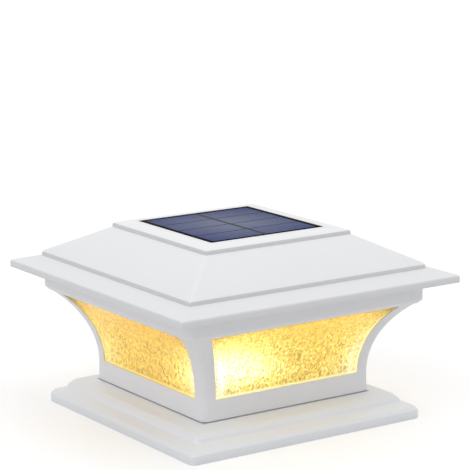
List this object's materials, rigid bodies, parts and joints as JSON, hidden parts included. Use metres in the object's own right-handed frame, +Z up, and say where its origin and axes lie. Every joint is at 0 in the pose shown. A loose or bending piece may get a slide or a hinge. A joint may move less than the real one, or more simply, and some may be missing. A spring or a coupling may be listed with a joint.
{
  "type": "deck post cap light",
  "caption": "Square solar deck post cap light: stepped base that drops over a post, flared lantern body with lit hammered panes, and a low pyramid roof carrying a solar panel.",
  "frame": {"origin": "middle of the base's lower rim", "axes": "+Z up through the post and the lantern; -Y is the front"},
  "size_m": [0.21, 0.21, 0.1238],
  "materials": {
    "base_white": "satin moulded white plastic",
    "body_white": "satin moulded white plastic",
    "roof_white": "satin moulded white plastic",
    "pane": "clear hammered plastic, lit warm from behind",
    "seal_rubber": "soft black rubber",
    "screw_steel": "zinc plated steel",
    "circuit_board": "green solder mask",
    "solar_cell": "dark blue silicon",
    "panel_glass": "clear glossy cover",
    "tray_plastic": "plain moulded plastic",
    "battery_wrap": "shrink sleeve",
    "contact_metal": "nickel plated",
    "reflector_white": "bright white",
    "led_board_white": "white solder mask",
    "led_yellow": "phosphor yellow",
    "frosted": "frosted warm white",
    "component_black": "black",
    "slider_black": "black",
    "wire_red": "red insulation",
    "wire_black": "black insulation"
  },
  "bodies": {
    "base": {"base_skirt": "base_white"},
    "lamp": {"body_frame": "body_white", "roof_cover": "roof_white", "pane_front": "pane", "pane_right": "pane", "pane_back": "pane", "pane_left": "pane", "roof_seal": "seal_rubber", "panel_seal": "seal_rubber", "roof_screws": "screw_steel", "tray_screws": "screw_steel", "board_screws": "screw_steel", "solar_backing": "circuit_board", "solar_cells": "solar_cell", "solar_glass": "panel_glass", "bottom_tray": "tray_plastic", "door_pin": "screw_steel", "battery_cell": "battery_wrap", "battery_contact": "contact_metal", "battery_spring": "contact_metal", "reflector_plate": "reflector_white", "led_board": "led_board_white", "leds": "led_yellow", "led_diffuser": "frosted", "main_board": "circuit_board", "board_parts": "component_black", "switch_body": "component_black", "panel_lead_red": "wire_red", "panel_lead_black": "wire_black", "led_leads": "wire_black"},
    "battery_door": {"battery_door": "tray_plastic"},
    "switch_slider": {"switch_slider": "slider_black"}
  },
  "joints": [
    {"name": "lamp_lift", "type": "slide", "parent": "base", "child": "lamp", "axis": [0, 0, 1], "range_m": [0, 0.06]},
    {"name": "battery_door_hinge", "type": "hinge", "parent": "lamp", "child": "battery_door", "pos_m": [-0.002, -0.0086, 0.0153], "axis": [-1, 0, 0], "range_deg": [0, 75]},
    {"name": "switch_slide", "type": "slide", "parent": "lamp", "child": "switch_slider", "axis": [1, 0, 0], "range_m": [0, 0.003]}
  ]
}
